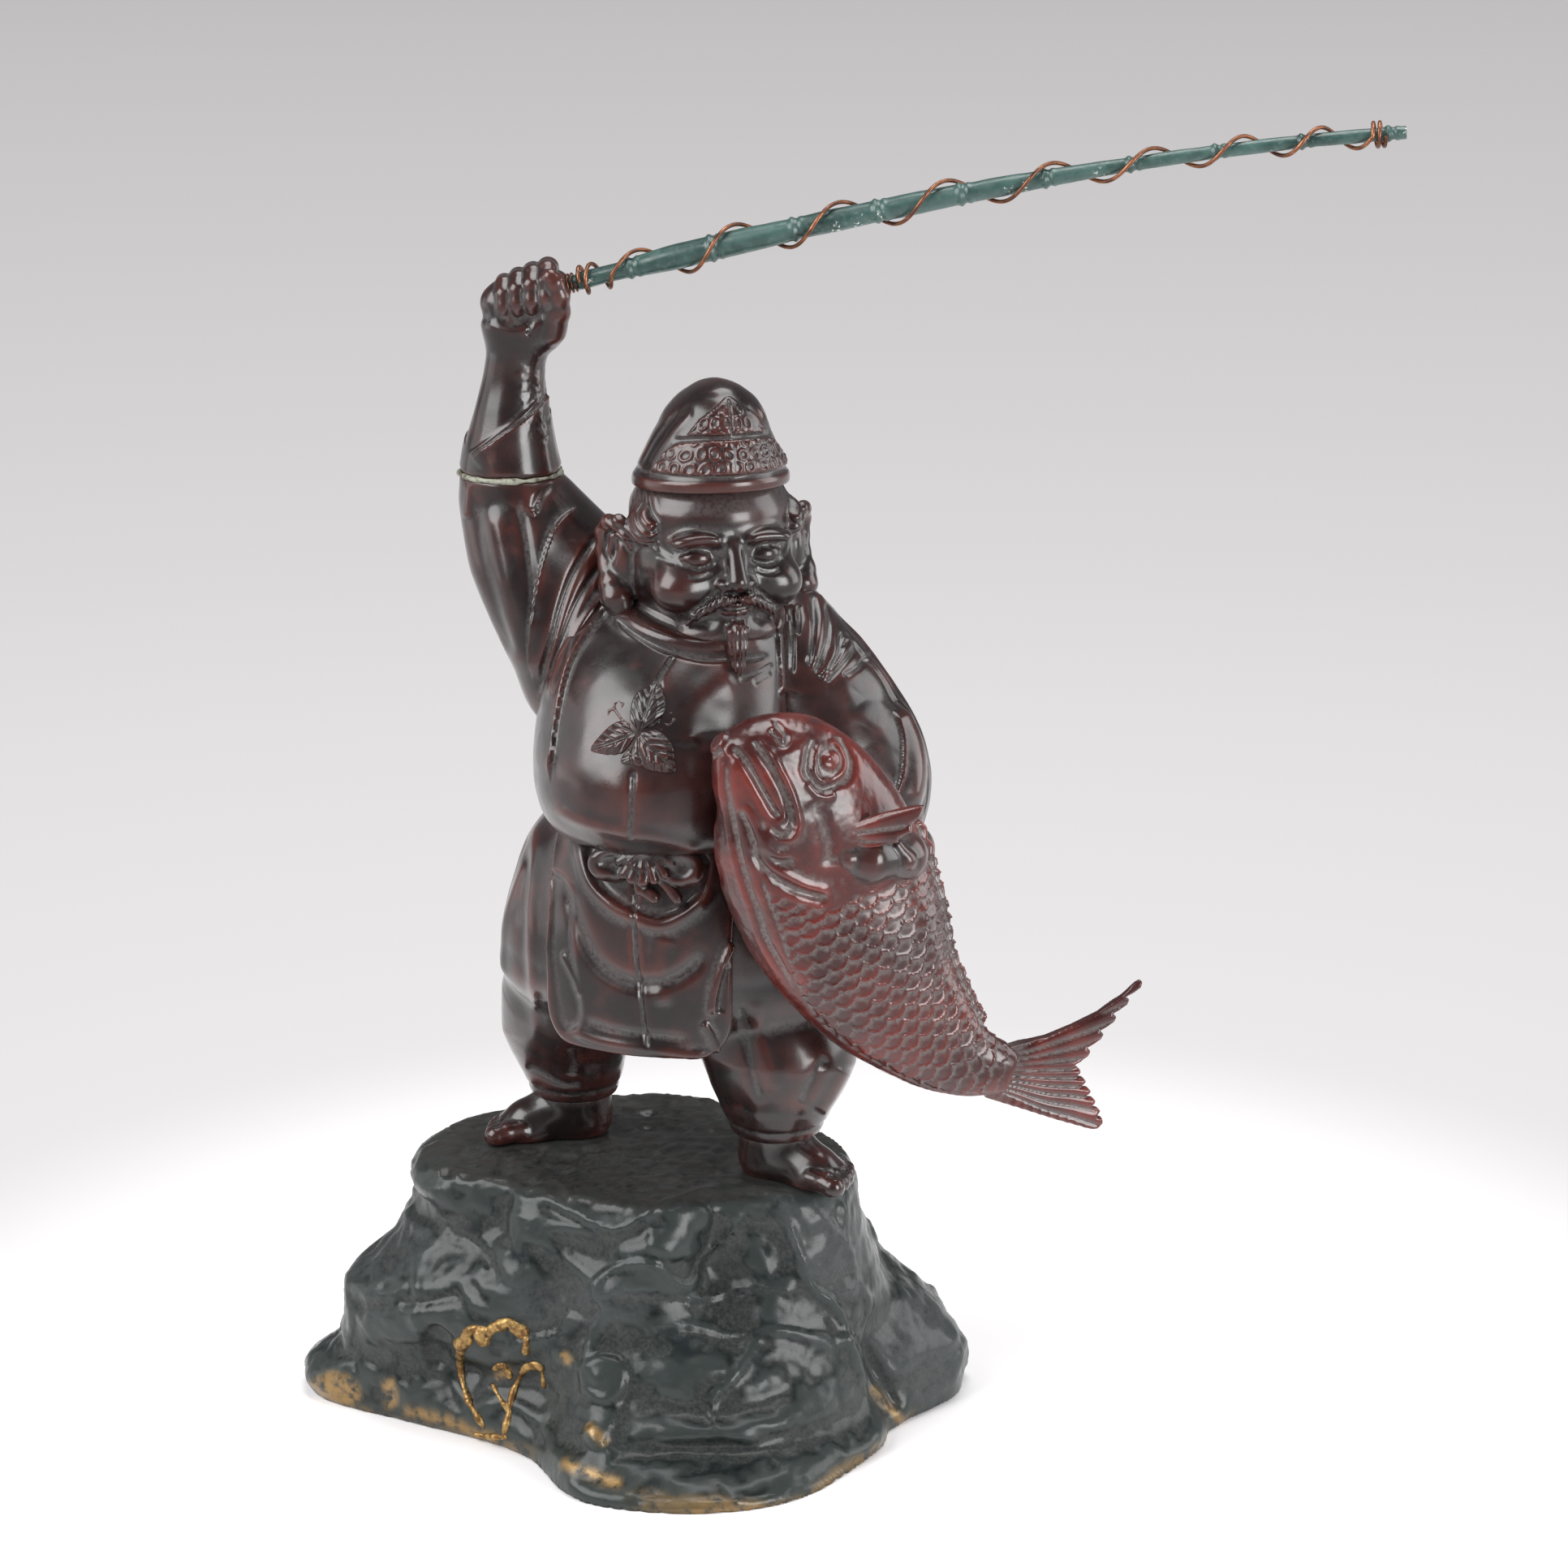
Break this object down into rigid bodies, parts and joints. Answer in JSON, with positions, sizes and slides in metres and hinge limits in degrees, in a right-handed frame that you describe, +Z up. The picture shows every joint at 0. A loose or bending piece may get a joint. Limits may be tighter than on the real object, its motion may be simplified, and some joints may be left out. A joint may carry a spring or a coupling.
{
  "type": "ebisu figure",
  "caption": "Cast-bronze Ebisu standing on a rock with a sea bream under one arm, and a wire-wound fishing rod that turns in the raised fist and pulls out of it.",
  "frame": {"origin": "middle of the object's box, on the surface that the rock stands on", "axes": "+Z up; the figure faces -Y; +X is to the right as one faces it, the way the rod points"},
  "size_m": [0.27, 0.1456, 0.3267],
  "materials": {
    "rock_bronze": "green-black patina, satin, worn to brass at the low rim, two plants gilt",
    "figure_bronze": "dark brown patina, glossy, rubbed reddish on the high places, dusty in the hollows",
    "fish_bronze": "oxblood patina, glossy",
    "fixings": "bare brass",
    "painted_rod": "green paint, satin, small chips",
    "copper_wire": "bare copper, lightly tarnished"
  },
  "bodies": {
    "figure": {"rock_base": "rock_bronze", "right_foot": "figure_bronze", "left_foot": "figure_bronze", "trousers": "figure_bronze", "skirt_panel": "figure_bronze", "upper_robe": "figure_bronze", "sash_bow": "figure_bronze", "head": "figure_bronze", "hat": "figure_bronze", "right_sleeve": "figure_bronze", "right_forearm": "figure_bronze", "left_sleeve": "figure_bronze", "left_hand": "figure_bronze", "fish_body": "fish_bronze", "fish_tail": "fish_bronze", "fish_pectoral_fin": "fish_bronze", "fish_pin": "fixings", "right_foot_stud": "fixings", "right_foot_washer": "fixings", "right_foot_nut": "fixings", "left_foot_stud": "fixings", "left_foot_washer": "fixings", "left_foot_nut": "fixings"},
    "lashing": {"grip_lashing": "copper_wire"},
    "rod": {"fishing_rod": "painted_rod", "fishing_line": "copper_wire"}
  },
  "joints": [
    {"name": "rod_pull", "type": "slide", "parent": "figure", "child": "lashing", "axis": [0.9634, -0.069, 0.2591], "range_m": [0, 0.03]},
    {"name": "rod_turn", "type": "hinge", "parent": "lashing", "child": "rod", "pos_m": [-0.06069, 0.00458, 0.2863], "axis": [0.9634, -0.069, 0.2591], "continuous": true}
  ]
}
